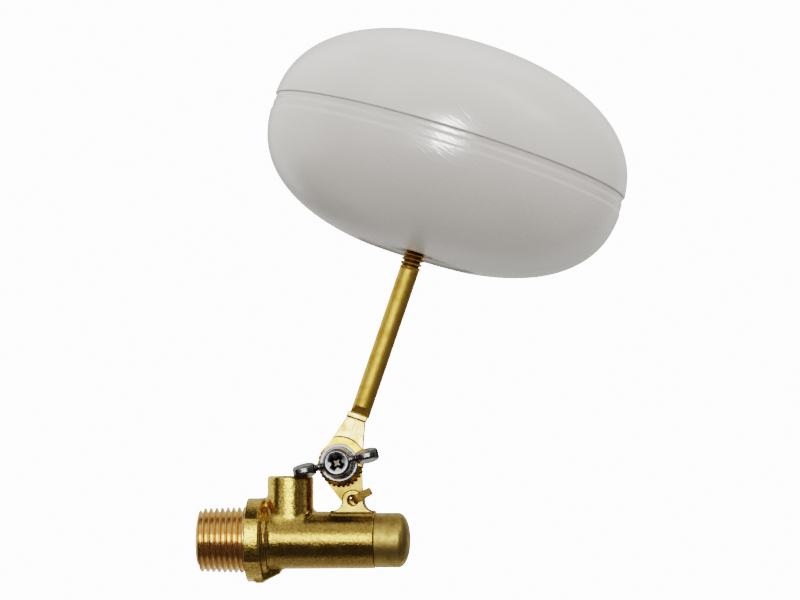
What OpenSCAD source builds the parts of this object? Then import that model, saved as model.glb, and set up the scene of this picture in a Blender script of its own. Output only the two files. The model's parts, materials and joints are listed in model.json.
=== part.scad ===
// Float valve: a threaded brass body with a side outlet, a piston that the lever drives onto a seat,
// and an adjustable brass arm that carries a hollow plastic float. Drawn closed.
// +X runs along the barrel from the inlet to the end cap, +Z is the side that the outlet, the lever
// and the float are on, and -Y is the side of the wing screw. The origin is on the barrel's axis, at
// the inlet thread's end face. All sizes are in millimetres.

/* [Inlet] */
// Radius over the crests of the inlet thread
thread_r = 10.65; // [10.4:0.05:10.9]
// Length of the inlet thread
thread_len = 15.9; // [13:0.1:18]
// Radius of the inlet waterway
inlet_bore_r = 7; // [6:0.1:8]
// Width of the hexagon across its flats
hex_af = 23.3; // [22:0.1:25]
// Length of the hexagon along the barrel
hex_len = 5.3; // [4:0.1:6]

/* [Barrel] */
// Radius of the barrel
barrel_r = 9.1; // [9:0.05:9.5]
// Joint between the barrel and the end cap, measured from the inlet
barrel_end_x = 56.6; // [56:0.1:58]
// Radius of the bore that the piston slides in
piston_bore_r = 6.35; // [6.2:0.05:6.4]
// Radius of the end cap
cap_r = 8.7; // [8.4:0.1:9]
// Length of the end cap outside the barrel
cap_len = 11.3; // [9:0.1:13]

/* [Outlet] */
// Distance of the outlet's axis from the inlet
outlet_x = 29.6; // [29:0.1:31]
// Radius of the outlet boss
outlet_boss_r = 7.3; // [7:0.1:7.5]
// Height of the boss's top above the barrel's axis
outlet_top_z = 20.4; // [19:0.1:21]
// Radius of the outlet hole
outlet_bore_r = 4.75; // [4.3:0.05:5]

/* [Lever] */
// Distance of the pivot pin from the inlet
pin_x = 49.8; // [49.5:0.1:50.5]
// Height of the pivot pin above the barrel's axis
pin_z = 12.5; // [12.3:0.1:13]
// Distance of the wing screw's axis from the inlet
screw_x = 45.4; // [45:0.1:46]
// Height of the wing screw's axis above the barrel's axis
screw_z = 24.4; // [24:0.1:25]
// Thickness of the lever plate
lever_t = 2.4; // [2.2:0.1:2.6]
// How far the lever opens, in degrees
lever_swing = 9; // [7:0.5:9]

/* [Float arm] */
// Lean of the rod from the vertical, in degrees
arm_lean = 18.9; // [10:0.1:25]
// Radius of the rod
rod_r = 3.175; // [3:0.025:3.3]
// Distance of the rod's axis from the wing screw's axis
rod_offset = 1; // [0:0.1:1.2]
// Radius of the rod's flattened end
disc_r = 7.2; // [7:0.1:7.3]

/* [Float] */
// Radius of the float
float_r = 58.3; // [50:0.1:65]
// Height of the float above its widest circle
float_top_h = 36; // [30:0.1:38]
// Depth of the float below its widest circle
float_bottom_h = 35.4; // [30:0.1:38]
// Lean of the float's own axis from the vertical, in degrees
float_lean = 17; // [16:0.1:19]
// Thickness of the float's walls
float_wall = 1.8; // [1.5:0.1:2.5]

/* [Hidden] */
$fn = 96;

eps = 0.01;
cut = 1;                                  // how far a cutting tool runs past the face it cuts
run_gap = 0.05;                           // radial clearance of a running fit

// Body
hex_x = thread_len;
collar_x = hex_x + hex_len;
collar_r = 10.6;
collar_len = 1.4;
foot_len = 5.2;
foot_w = 6;
foot_z = [-13.3, -10.8];
ear_y = [1.5, 3.9];                       // inner and outer face of an ear
ear_r = 3.5;
ear_fillet_r = 3.3;
pin_hole_r = 1.6;
slot_x = [45.2, 53.4];
rim_chamfer = 0.9;                        // on the outlet boss
outlet_floor_z = 7.2;                     // where the outlet hole narrows to its port
port_r = 4;

// Waterway and seat
inlet_bore_len = 18;
chamber_x = 24;
seat_face_x = 25.5;
orifice_r = 2.4;
insert_r = 5;
insert_flange_r = 5.6;
insert_flange_t = 0.7;
nozzle_r = 3;
cap_socket_r = 7.75;
cap_socket_len = 2.6;

// Pivot pin
pin_r = pin_hole_r - run_gap;
pin_leg_r = 1.1;
pin_leg_len = 6.6;
pin_leg_rise = 27.6;
pin_leg_splay = 11;
pin_eye_r = 2;
pin_eye_wire_r = 0.75;

// Lever
lever_head_r = 7;
lever_pin_r = 3.16;
finger_len = 10.5;                        // from the pivot to the middle of the fingertip
fingertip_r = 2;
finger_neck_w = 3;
finger_angle = lever_swing / 2;
fingertip_x = pin_x - finger_len * sin(finger_angle);
screw_r = 3.1;
screw_hole_r = screw_r + 0.07;

// Clamp stack, from the lever's face towards -Y
arm_y = -1.25;
arm_t = 2.35;
washer_y = arm_y - arm_t - run_gap;
washer_t = 1;
washer_r = 6.1;
hub_y = washer_y - washer_t;
hub_len = 8.1;
hub_r = [5.2, 4.3];
recess_depth = 2.6;
screw_tip_y = 3.4;
wing_angle = 13.4;
wing_t = 2.7;

// Arm, measured along the rod from the wing screw
flat_offset = 0.6;
disc_drop = 0.3;
crease_s = 15;
crease_w = 6;
rod_start_s = 18;
rod_end_s = 83;
tooth_count = 28;
tooth_w = 0.7;
tooth_h = 0.6;

// Float
float_s = 104.6;                          // middle of the float along the rod
float_offset = 0.8;
seam_h = 2.2;
seam_bands = [[2.2, 0.6], [4.8, 0.35]];   // height and depth of the set-back bands below the seam
dish_r = 19.5;
dish_depth = 2;
shell_n = [2.27, 2.46];                   // how square the upper and the lower half are
insert_out_r = 5.5;
insert_len = 14;
boss_wall = 2.5;

// Piston
piston_r = piston_bore_r - run_gap;
piston_x = [27.2, 53.7];
piston_head_r = 5.6;
piston_land_x = 36;
disc_pocket_r = 4.9;
disc_pocket_len = 2;
disc_nose_r = 3.9;
groove_x = 37.5;
groove_w = 2;
groove_floor_r = 4.45;
o_ring_r = 0.9;
piston_slot_w = 2 * fingertip_r + 0.1;
piston_slot_y = lever_t + 0.8;

// A cylinder along X that starts at x
module bar_x(x, len, r) {
    translate([x, 0, 0]) rotate([0, 90, 0]) cylinder(h = len, r = r);
}

// A cylinder along Y, from y0 to y1, through the point x, z
module bar_y(x, z, y0, y1, r) {
    translate([x, y1, z]) rotate([90, 0, 0]) cylinder(h = y1 - y0, r = r);
}

// Draws a shape of the X-Z plane as a plate from y0 to y1
module plate_y(y0, y1) {
    translate([0, y1, 0]) rotate([90, 0, 0]) linear_extrude(y1 - y0) children();
}

// Revolves a profile of [radius, x] points about the barrel's axis
module turned_x(points) {
    rotate([0, 90, 0]) rotate_extrude() polygon(points);
}

// Two discs, at the origin and on the +Y axis, joined by a bar whose edges run just inside their
// outer tangents, so that an edge crosses each rim
module tangent_bar(r_origin, r_far, far) {
    lean = asin((r_origin - r_far) / far);
    edge = 0.99 * [cos(lean), sin(lean)];
    circle(r_origin);
    translate([0, far]) circle(r_far);
    polygon([
        r_origin * edge, [0, far] + r_far * edge,
        [-r_far * edge[0], far + r_far * edge[1]], [-r_origin * edge[0], r_origin * edge[1]]
    ]);
}

// Puts the origin on the wing screw's axis and +Z along the rod
module arm_frame() {
    translate([screw_x, 0, screw_z]) rotate([0, arm_lean, 0]) children();
}

// Puts the origin at the middle of the float and +Z along the float's own axis
module float_frame() {
    arm_frame() translate([float_offset, arm_y - arm_t / 2, float_s])
        rotate([0, float_lean - arm_lean, 0]) children();
}

module ear_outline() {
    translate([pin_x, pin_z]) circle(ear_r);
    difference() {
        translate([pin_x - ear_r - ear_fillet_r, pin_z - 6])
            square([2 * (ear_r + ear_fillet_r), 6]);
        for (side = [-1, 1])
            translate([pin_x + side * (ear_r + ear_fillet_r), pin_z]) circle(ear_fillet_r);
    }
}

module valve_body() {
    color("darkgoldenrod") difference() {
        union() {
            bar_x(0, thread_len + eps, thread_r);
            translate([hex_x, 0, 0]) rotate([0, 90, 0])
                cylinder(h = hex_len, r = hex_af / 2 / cos(30), $fn = 6);
            bar_x(collar_x - eps, collar_len, collar_r);
            bar_x(collar_x, barrel_end_x - collar_x, barrel_r);
            translate([outlet_x, 0, 0]) {
                cylinder(h = outlet_top_z - rim_chamfer, r = outlet_boss_r);
                translate([0, 0, outlet_top_z - rim_chamfer])
                    cylinder(h = rim_chamfer, r1 = outlet_boss_r, r2 = outlet_boss_r - rim_chamfer);
            }
            plate_y(-foot_w / 2, foot_w / 2) polygon([
                [collar_x, foot_z[0]], [collar_x + foot_len, foot_z[1]],
                [collar_x + foot_len, 1 - barrel_r], [collar_x, 1 - barrel_r]
            ]);
            plate_y(ear_y[0], ear_y[1]) ear_outline();
            plate_y(-ear_y[1], -ear_y[0]) ear_outline();
        }
        bar_x(-cut, inlet_bore_len + cut, inlet_bore_r);
        bar_x(inlet_bore_len - eps, chamber_x - inlet_bore_len + 2 * eps, insert_r);
        bar_x(chamber_x, barrel_end_x - chamber_x + cut, piston_bore_r);
        bar_x(barrel_end_x - cap_socket_len, cap_socket_len + cut, cap_socket_r);
        translate([outlet_x, 0, 0]) {
            cylinder(h = outlet_top_z, r = port_r);
            translate([0, 0, outlet_floor_z]) cylinder(h = outlet_top_z, r = outlet_bore_r);
        }
        translate([slot_x[0], -ear_y[0], 0]) cube([slot_x[1] - slot_x[0], 2 * ear_y[0], pin_z]);
        bar_y(pin_x, pin_z, -ear_y[1] - cut, ear_y[1] + cut, pin_hole_r);
    }
}

module seat_insert() {
    color("gold") turned_x([
        [orifice_r, inlet_bore_len], [insert_r, inlet_bore_len], [insert_r, chamber_x],
        [insert_flange_r, chamber_x], [insert_flange_r, chamber_x + insert_flange_t],
        [nozzle_r + 0.6, chamber_x + insert_flange_t], [nozzle_r, seat_face_x],
        [orifice_r, seat_face_x]
    ]);
}

module end_cap() {
    corner = [7.8, 3.75];                 // the rounded end, across and along the barrel's axis
    cap_end_x = barrel_end_x + cap_len;
    hollow_r = 6.6;
    end_wall = 3;
    spigot_r = cap_socket_r - run_gap;
    rounding = [for (a = [0:10:90])
        [cap_r - corner[0] * (1 - cos(a)), cap_end_x - corner[1] * (1 - sin(a))]];
    color("goldenrod") turned_x(concat(
        [[hollow_r, barrel_end_x - cap_socket_len + 0.1],
         [spigot_r, barrel_end_x - cap_socket_len + 0.1],
         [spigot_r, barrel_end_x], [cap_r, barrel_end_x]],
        rounding,
        [[0, cap_end_x], [0, cap_end_x - end_wall], [hollow_r, cap_end_x - end_wall]]
    ));
}

module pivot_pin() {
    bend_y = -ear_y[1] - pin_leg_r - 0.2;
    eye_y = ear_y[1] + pin_eye_r + pin_eye_wire_r;
    color("peru") {
        bar_y(pin_x, pin_z, bend_y, eye_y - pin_eye_r, pin_r);
        translate([pin_x, bend_y, pin_z])
            rotate([0, -pin_leg_rise, 0]) rotate([0, 0, -pin_leg_splay]) rotate([0, 90, 0])
            cylinder(h = pin_leg_len, r = pin_leg_r);
        translate([pin_x, eye_y, pin_z]) rotate([0, 90, 0])
            rotate_extrude() translate([pin_eye_r, 0]) circle(pin_eye_wire_r);
    }
}

module lever() {
    head = [screw_x - pin_x, screw_z - pin_z];
    color("wheat") difference() {
        union() {
            plate_y(-lever_t / 2, lever_t / 2) translate([pin_x, pin_z])
                rotate(atan2(head[1], head[0]) - 90) tangent_bar(lever_pin_r, lever_head_r, norm(head));
            plate_y(-lever_t / 2, lever_t / 2) translate([pin_x, pin_z])
                rotate(180 - finger_angle) {
                    translate([-finger_neck_w / 2, 0]) square([finger_neck_w, finger_len]);
                    translate([0, finger_len]) circle(fingertip_r);
                }
        }
        bar_y(pin_x, pin_z, -lever_t, lever_t, pin_hole_r + 0.02);
        bar_y(screw_x, screw_z, -lever_t, lever_t, screw_hole_r);
    }
}

module float_arm() {
    mid_y = arm_y - arm_t / 2;
    color("burlywood") arm_frame() difference() {
        union() {
            plate_y(arm_y - arm_t, arm_y) {
                translate([flat_offset, -disc_drop]) circle(disc_r);
                polygon([
                    [flat_offset - disc_r, 0], [flat_offset + disc_r, 0],
                    [flat_offset + crease_w / 2, crease_s], [flat_offset - crease_w / 2, crease_s]
                ]);
            }
            hull() {
                translate([flat_offset - crease_w / 2, arm_y - arm_t, crease_s - 1])
                    cube([crease_w, arm_t, 1]);
                translate([rod_offset, mid_y, rod_start_s]) cylinder(h = 0.5, r = rod_r, $fn = 32);
            }
            translate([rod_offset, mid_y, rod_start_s]) cylinder(h = rod_end_s - rod_start_s, r = rod_r);
        }
        bar_y(0, 0, arm_y - arm_t - cut, arm_y + cut, screw_hole_r);
        for (i = [0:tooth_count - 1])
            translate([flat_offset, arm_y - tooth_h + eps, -disc_drop])
                rotate([0, 360 * i / tooth_count, 0]) translate([-tooth_w / 2, 0, disc_r - 1])
                cube([tooth_w, tooth_h, cut + 1]);
    }
}

module clamp_washer() {
    color("lightgray") difference() {
        bar_y(screw_x, screw_z, washer_y - washer_t, washer_y, washer_r);
        bar_y(screw_x, screw_z, washer_y - washer_t - cut, washer_y + cut, screw_hole_r);
    }
}

module wing_screw() {
    tip_r = 13.4;
    back_y = -7.7;
    front_y = hub_y - hub_len;
    color("silver") translate([screw_x, 0, screw_z]) difference() {
        union() {
            translate([0, hub_y - eps, 0]) rotate([90, 0, 0])
                cylinder(h = hub_len, r1 = hub_r[0], r2 = hub_r[1]);
            bar_y(0, 0, hub_y - cut, screw_tip_y, screw_r);
            for (turn = [0, 180])
                rotate([0, turn - wing_angle, 0]) translate([0, 0, -wing_t / 2])
                    linear_extrude(wing_t) polygon([
                        [hub_r[1] - 1, back_y - 1], [7, back_y - 0.5], [11.4, back_y],
                        [tip_r - 0.2, back_y - 1.6], [tip_r, front_y + 1.2], [12.4, front_y - 0.6],
                        [8, front_y], [6, front_y + 2], [hub_r[1] - 1, front_y + 2.6]
                    ]);
        }
        for (turn = [0, 90])
            rotate([0, turn + 45, 0]) translate([-2.3, front_y - cut, -0.6])
                cube([4.6, recess_depth + cut, 1.2]);
    }
}

// One wall of the float: the half superellipse above (side 1) or below (side -1) its widest circle
function shell_arc(r, h, n, side) =
    [for (i = [0:24]) let (a = i * 90 / 24) [r * pow(cos(a), 2 / n), side * h * pow(sin(a), 2 / n)]];

module float_outside(inset) {
    upper = shell_arc(float_r - inset, float_top_h - inset, shell_n[0], 1);
    lower = shell_arc(float_r - inset, float_bottom_h - inset, shell_n[1], -1);
    rotate_extrude() polygon(concat(
        [for (i = [0:24]) upper[24 - i]], [for (i = [1:24]) lower[i]]
    ));
}

// Everything above (or below) the seam
module above_seam(up) {
    translate([0, 0, up ? seam_h : seam_h - 100]) cylinder(h = 100, r = float_r + cut);
}

module float_upper_shell() {
    color("whitesmoke") float_frame() intersection() {
        difference() {
            float_outside(0);
            float_outside(float_wall);
        }
        above_seam(true);
    }
}

module float_lower_shell() {
    color("gainsboro") difference() {
        union() {
            float_frame() {
                difference() {
                    intersection() {
                        float_outside(0);
                        above_seam(false);
                    }
                    float_outside(float_wall);
                    dish_cutter();
                    for (band = seam_bands) seam_band_cutter(band[0], band[1]);
                }
                translate([0, 0, -float_bottom_h + dish_depth])
                    cylinder(h = float_wall, r = dish_r + 2 * float_wall);
            }
            insert_bar(insert_out_r + boss_wall, 0.4, insert_len);
        }
        insert_bar(insert_out_r, -cut, insert_len + cut);
    }
}

// The shallow dish around the rod
module dish_cutter() {
    translate([0, 0, -float_bottom_h - cut]) cylinder(h = dish_depth + cut, r = dish_r);
}

// Sets the float's side back by depth, from the seam down to height below it
module seam_band_cutter(height, depth) {
    translate([0, 0, seam_h - height]) difference() {
        cylinder(h = height + cut, r = float_r + cut);
        translate([0, 0, -cut]) cylinder(h = height + 3 * cut, r = float_r - depth);
    }
}

// A cylinder on the rod's axis, from start to end above the floor of the dish
module insert_bar(r, start, end) {
    arm_frame() translate([rod_offset, arm_y - arm_t / 2, float_s - float_bottom_h + dish_depth + start])
        cylinder(h = end - start, r = r);
}

module float_insert() {
    color("goldenrod") difference() {
        insert_bar(insert_out_r - run_gap, 0.2, insert_len);
        insert_bar(rod_r + 0.02, 0, insert_len - 2);
    }
}

module piston() {
    color("khaki") difference() {
        turned_x([
            [0, piston_x[0] + disc_pocket_len], [disc_pocket_r, piston_x[0] + disc_pocket_len],
            [disc_pocket_r, piston_x[0]], [piston_head_r, piston_x[0]],
            [piston_head_r, piston_land_x], [piston_r, piston_land_x],
            [piston_r, groove_x - groove_w / 2], [groove_floor_r, groove_x - groove_w / 2],
            [groove_floor_r, groove_x + groove_w / 2], [piston_r, groove_x + groove_w / 2],
            [piston_r, piston_x[1]], [0, piston_x[1]]
        ]);
        translate([fingertip_x - piston_slot_w / 2, -piston_slot_y / 2, -0.6])
            cube([piston_slot_w, piston_slot_y, piston_r + cut]);
    }
}

module piston_o_ring() {
    color("dimgray") translate([groove_x, 0, 0]) rotate([0, 90, 0])
        rotate_extrude() translate([groove_floor_r + run_gap + o_ring_r, 0]) circle(o_ring_r);
}

module seat_disc() {
    pocket_end_x = piston_x[0] + disc_pocket_len;
    color("black") turned_x([
        [0, seat_face_x + 0.02], [disc_nose_r, seat_face_x + 0.02], [disc_nose_r, piston_x[0]],
        [disc_pocket_r - run_gap, piston_x[0]], [disc_pocket_r - run_gap, pocket_end_x],
        [0, pocket_end_x]
    ]);
}

module disc_retainer() {
    color("gold") turned_x([
        [disc_nose_r + 0.1, piston_x[0] - 0.8], [piston_head_r, piston_x[0] - 0.8],
        [piston_head_r, piston_x[0]], [disc_nose_r + 0.1, piston_x[0]]
    ]);
}

valve_body();
seat_insert();
end_cap();
pivot_pin();
lever();
float_arm();
clamp_washer();
wing_screw();
float_lower_shell();
float_upper_shell();
float_insert();
piston();
piston_o_ring();
seat_disc();
disc_retainer();
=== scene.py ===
"""Float valve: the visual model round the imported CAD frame, and its studio. Lengths are in millimetres until
they go into a mesh. +X runs from the inlet to the end cap, +Z to the float and -Y to the camera."""

import functools
import itertools
import json
import math

import bmesh
import bpy
import numpy as np
from mathutils import Matrix, Vector


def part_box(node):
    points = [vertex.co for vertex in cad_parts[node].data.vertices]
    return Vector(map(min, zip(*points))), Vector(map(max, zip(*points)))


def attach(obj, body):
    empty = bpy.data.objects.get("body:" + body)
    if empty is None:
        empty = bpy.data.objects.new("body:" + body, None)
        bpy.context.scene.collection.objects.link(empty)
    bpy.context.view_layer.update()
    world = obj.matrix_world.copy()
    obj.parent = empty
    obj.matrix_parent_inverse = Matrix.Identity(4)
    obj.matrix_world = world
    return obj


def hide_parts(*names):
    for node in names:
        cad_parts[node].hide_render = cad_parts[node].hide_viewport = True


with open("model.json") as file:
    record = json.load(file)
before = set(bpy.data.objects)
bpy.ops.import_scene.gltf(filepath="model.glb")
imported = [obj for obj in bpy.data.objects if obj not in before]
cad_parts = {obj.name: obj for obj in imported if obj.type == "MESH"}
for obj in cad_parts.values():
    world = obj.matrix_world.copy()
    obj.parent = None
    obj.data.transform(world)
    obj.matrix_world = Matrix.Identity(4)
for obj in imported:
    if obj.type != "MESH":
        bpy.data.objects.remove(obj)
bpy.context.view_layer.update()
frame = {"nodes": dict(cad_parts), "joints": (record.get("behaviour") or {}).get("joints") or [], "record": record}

SCENE = bpy.context.scene
MM = 0.001
COARSE = 1.0
JOINTS = {joint["name"]: joint for joint in frame["joints"]}
MOUNTS = {mount["name"]: mount for mount in frame["record"]["mounts"]}


def millimetres(point):
    return np.array(point, float) / MM


def node_box(node):
    low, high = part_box(node)
    return millimetres(low), millimetres(high)


PIVOT = millimetres(JOINTS["lever_swing"]["pos_m"])
SWING = JOINTS["lever_swing"]["range_deg"][1]
SCREW = millimetres(JOINTS["arm_adjust"]["pos_m"])
THREAD_LEN = MOUNTS["inlet_thread"]["dims"]["length_mm"]
THREAD_R = MOUNTS["inlet_thread"]["dims"]["r_mm"]
INLET_R = MOUNTS["inlet_bore"]["dims"]["r_mm"]
OUTLET = millimetres(MOUNTS["outlet_bore"]["pos_m"])
OUTLET_R = MOUNTS["outlet_bore"]["dims"]["r_mm"]
OUTLET_FLOOR = OUTLET[2] - MOUNTS["outlet_bore"]["dims"]["length_mm"]
INSERT_X = node_box("seat_insert")[0][0]
CAP_X = node_box("end_cap")[1][0]
WASHER_LOW, WASHER_HIGH = node_box("clamp_washer")
WASHER_FRONT = WASHER_LOW[1]
WASHER_BACK = WASHER_HIGH[1]
WASHER_R = (WASHER_HIGH[0] - WASHER_LOW[0]) / 2
LEVER_LOW, LEVER_HIGH = node_box("lever")
LEVER_T = LEVER_HIGH[1] - LEVER_LOW[1]

SCREW_HOLE_R = 3.17
ARM_LEAN = 18.9
FLOAT_LEAN = 17.0


# ---- meshes

POLE_R = 1e-4
THREAD_SIDES = 144
ROWS_PER_TURN = 22
GROOVE_POWER = 2.2


def rotation(degrees, axis):
    return np.array(Matrix.Rotation(math.radians(degrees), 3, axis))


def placed(points, turn, origin):
    return np.asarray(points) @ turn.T + np.asarray(origin)


def link_object(name, mesh, materials, face_material=None):
    """Adds a smooth shaded object to the scene."""
    for material in materials:
        mesh.materials.append(material)
    if face_material is not None:
        mesh.polygons.foreach_set("material_index", np.asarray(face_material, np.int32))
    mesh.polygons.foreach_set("use_smooth", np.full(len(mesh.polygons), True))
    obj = bpy.data.objects.new(name, mesh)
    SCENE.collection.objects.link(obj)
    return obj


def make_object(name, verts, faces, materials, face_material=None):
    """An object from points in millimetres and faces with any number of corners."""
    mesh = bpy.data.meshes.new(name)
    mesh.from_pydata((np.asarray(verts, np.float32) * MM).tolist(), [], faces, shade_flat=False)
    mesh.validate()
    return link_object(name, mesh, materials, face_material)


def merged(parts):
    """Several (points, quads) as one."""
    verts = []
    faces = []
    start = 0
    for points, quads in parts:
        verts.append(points)
        faces.append(quads + start)
        start += len(points)
    return np.vstack(verts), np.vstack(faces)


def closed_grid(segments, count):
    """Quads over a grid of points that closes on itself both ways."""
    i, j = np.meshgrid(np.arange(segments), np.arange(count), indexing="ij")
    right = (i + 1) % segments
    up = (j + 1) % count
    corners = (i * count + j, right * count + j, right * count + up, i * count + up)
    return np.stack(corners, -1).reshape(-1, 4)


def revolved(profile, segments):
    """Revolves a closed outline of (radius, height) about +Z. A point on the axis becomes a tiny ring, so
    that every face is a quad."""
    outline = np.array([(max(r, POLE_R), h) for r, h in profile])
    angles = np.linspace(0, 2 * np.pi, segments, endpoint=False)
    verts = np.empty((segments, len(outline), 3))
    verts[..., 0] = np.cos(angles)[:, None] * outline[:, 0]
    verts[..., 1] = np.sin(angles)[:, None] * outline[:, 0]
    verts[..., 2] = outline[:, 1]
    return verts.reshape(-1, 3), closed_grid(segments, len(outline))


def turned(name, profile, segments, turn, origin, material):
    verts, quads = revolved(profile, segments)
    return make_object(name, placed(verts, turn, origin), quads, [material])


def arc(centre, radius, start, end, steps):
    """Points of an arc in a profile, from angle to angle. The radius may differ across and along."""
    across, along = radius if isinstance(radius, tuple) else (radius, radius)
    angles = np.radians(np.linspace(start, end, steps + 1))
    return [(centre[0] + across * math.cos(a), centre[1] + along * math.sin(a)) for a in angles]


def threaded(crest_r, pitch, depth, length, hole_r, phase, relief):
    """A right-hand thread about +Z from 0 to length, round a hole. crest_r and relief are functions of the
    height: relief is 1 where the thread is at its full depth."""
    rows = max(8, int(length / pitch * ROWS_PER_TURN / COARSE))
    height = np.linspace(0, length, rows)
    angle = np.linspace(0, 2 * np.pi, THREAD_SIDES, endpoint=False)
    turn = (height[None, :] / pitch - angle[:, None] / (2 * np.pi) - phase) % 1
    groove = np.sin(np.pi * turn) ** GROOVE_POWER
    radius = crest_r(height)[None, :] - depth * relief(height)[None, :] * groove
    verts = np.empty((THREAD_SIDES, rows + 2, 3))
    verts[:, 1:-1, 0] = np.cos(angle)[:, None] * radius
    verts[:, 1:-1, 1] = np.sin(angle)[:, None] * radius
    verts[:, 1:-1, 2] = height
    for end, level in ((0, 0.0), (-1, length)):
        verts[:, end, 0] = np.cos(angle) * hole_r
        verts[:, end, 1] = np.sin(angle) * hole_r
        verts[:, end, 2] = level
    return verts.reshape(-1, 3), closed_grid(THREAD_SIDES, rows + 2)


def store(obj, name, *values):
    """Keeps a number for each point, for the materials."""
    attribute = obj.data.attributes.new(name, "FLOAT", "POINT")
    attribute.data.foreach_set("value", np.concatenate(values).astype(np.float32))


# ---- solids as distance fields

# A solid is a function of x, y and z: below 0 inside, and about the distance in millimetres outside.

CELL_CORNERS = [np.array(corner) for corner in itertools.product((0, 1), repeat=3)]
CELL_PAIRS = itertools.product(CELL_CORNERS, repeat=2)
CELL_EDGES = [(a, b) for a, b in CELL_PAIRS if (b - a).min() >= 0 and (b - a).sum() == 1]
PULLS = 3
PULL_REACH = 0.3
NORMAL_REACH = 0.1
HOLLOW_PROBES = ((0.6, 0.3), (1.5, 0.4), (3.0, 0.3))
RIM_DEPTH = 0.45
PROBE_GAIN = 1.6


def round_and(a, b, r):
    """Where both solids are, with the edge between them rounded to radius r."""
    return np.minimum(np.maximum(a, b), -r) + np.hypot(np.maximum(a + r, 0), np.maximum(b + r, 0))


def round_or(a, b, r):
    """Where either solid is, with a fillet of radius r between them."""
    return -round_and(-a, -b, r)


def meet(*solids):
    """Where all the solids are, with sharp edges between them."""
    return functools.reduce(np.maximum, solids)


def without(a, b, r=0.15):
    """The first solid with the second cut out of it, and the cut's edge broken by r."""
    return round_and(a, -b, r)


def cell_points(field, cells):
    """The middle of where the surface crosses each cell's edges, in cells."""
    crossing = np.zeros((len(cells), 3))
    hits = np.zeros(len(cells))
    for a, b in CELL_EDGES:
        value_a = field[tuple((cells + a).T)]
        value_b = field[tuple((cells + b).T)]
        cut = (value_a < 0) != (value_b < 0)
        share = np.where(cut, value_a / np.where(cut, value_a - value_b, 1), 0)
        crossing += cut[:, None] * (a + share[:, None] * (b - a))
        hits += cut
    return cells + crossing / hits[:, None]


def cell_quads(inside, index):
    """A quad across each grid edge that the surface crosses, between its four cells' points."""
    quads = []
    for axis in range(3):
        edge = inside != np.roll(inside, -1, axis)
        np.moveaxis(edge, axis, 0)[-1] = False
        for other in {0, 1, 2} - {axis}:
            np.moveaxis(edge, other, 0)[0] = False
        at = np.argwhere(edge)
        one = np.eye(3, dtype=int)[(axis + 1) % 3]
        two = np.eye(3, dtype=int)[(axis + 2) % 3]
        ring = np.stack([index[tuple((at - a).T)] for a in (one + two, two, 0 * one, one)], -1)
        flip = ~inside[tuple(at.T)]
        ring[flip] = ring[flip][:, ::-1]
        quads.append(ring)
    return np.vstack(quads)


def surface_net(solid, low, high, step):
    """Points and quads on the surface of a solid."""
    axes = [np.arange(a - 2 * step, b + 3 * step, step) for a, b in zip(low, high)]
    field = np.empty([len(a) for a in axes], np.float32)
    y, z = np.meshgrid(axes[1], axes[2], indexing="ij")
    for n, x in enumerate(axes[0]):
        field[n] = solid(np.full_like(y, x), y, z)
    inside = field < 0
    size = np.array(field.shape) - 1
    total = sum(
        inside[i : i + size[0], j : j + size[1], k : k + size[2]].astype(np.int8)
        for i, j, k in CELL_CORNERS
    )
    cells = np.argwhere((total > 0) & (total < 8))
    index = np.full(size, -1, np.int64)
    index[tuple(cells.T)] = np.arange(len(cells))
    origin = np.array([a[0] for a in axes])
    verts = origin + step * cell_points(field, cells)
    for _ in range(PULLS):
        verts = verts - surface_offset(solid, verts, PULL_REACH * step)
    return verts, cell_quads(inside, index)


def gradient(solid, verts, reach):
    slopes = [solid(*(verts + step).T) - solid(*(verts - step).T) for step in reach * np.eye(3)]
    return np.stack(slopes, -1) / (2 * reach)


def surface_offset(solid, verts, reach):
    """From the surface to each point, as a vector no longer than about reach."""
    slope = gradient(solid, verts, reach)
    distance = solid(*verts.T)[:, None]
    return np.clip(distance, -reach, reach) * slope / np.maximum((slope**2).sum(1), 0.2)[:, None]


def hollowness(solid, verts):
    """From 0 on a flat or bulging surface to 1 deep in a corner, and the same for sharp edges."""
    slope = gradient(solid, verts, NORMAL_REACH)
    normal = slope / np.linalg.norm(slope, axis=1)[:, None]
    recess = np.zeros(len(verts))
    for reach, weight in HOLLOW_PROBES:
        recess += weight * np.clip(1 - solid(*(verts + reach * normal).T) / reach, 0, 1)
    rim = np.clip(1 + solid(*(verts - RIM_DEPTH * normal).T) / RIM_DEPTH, 0, 1)
    return np.clip(recess * PROBE_GAIN, 0, 1), np.clip(rim * PROBE_GAIN, 0, 1)


# ---- materials


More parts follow.
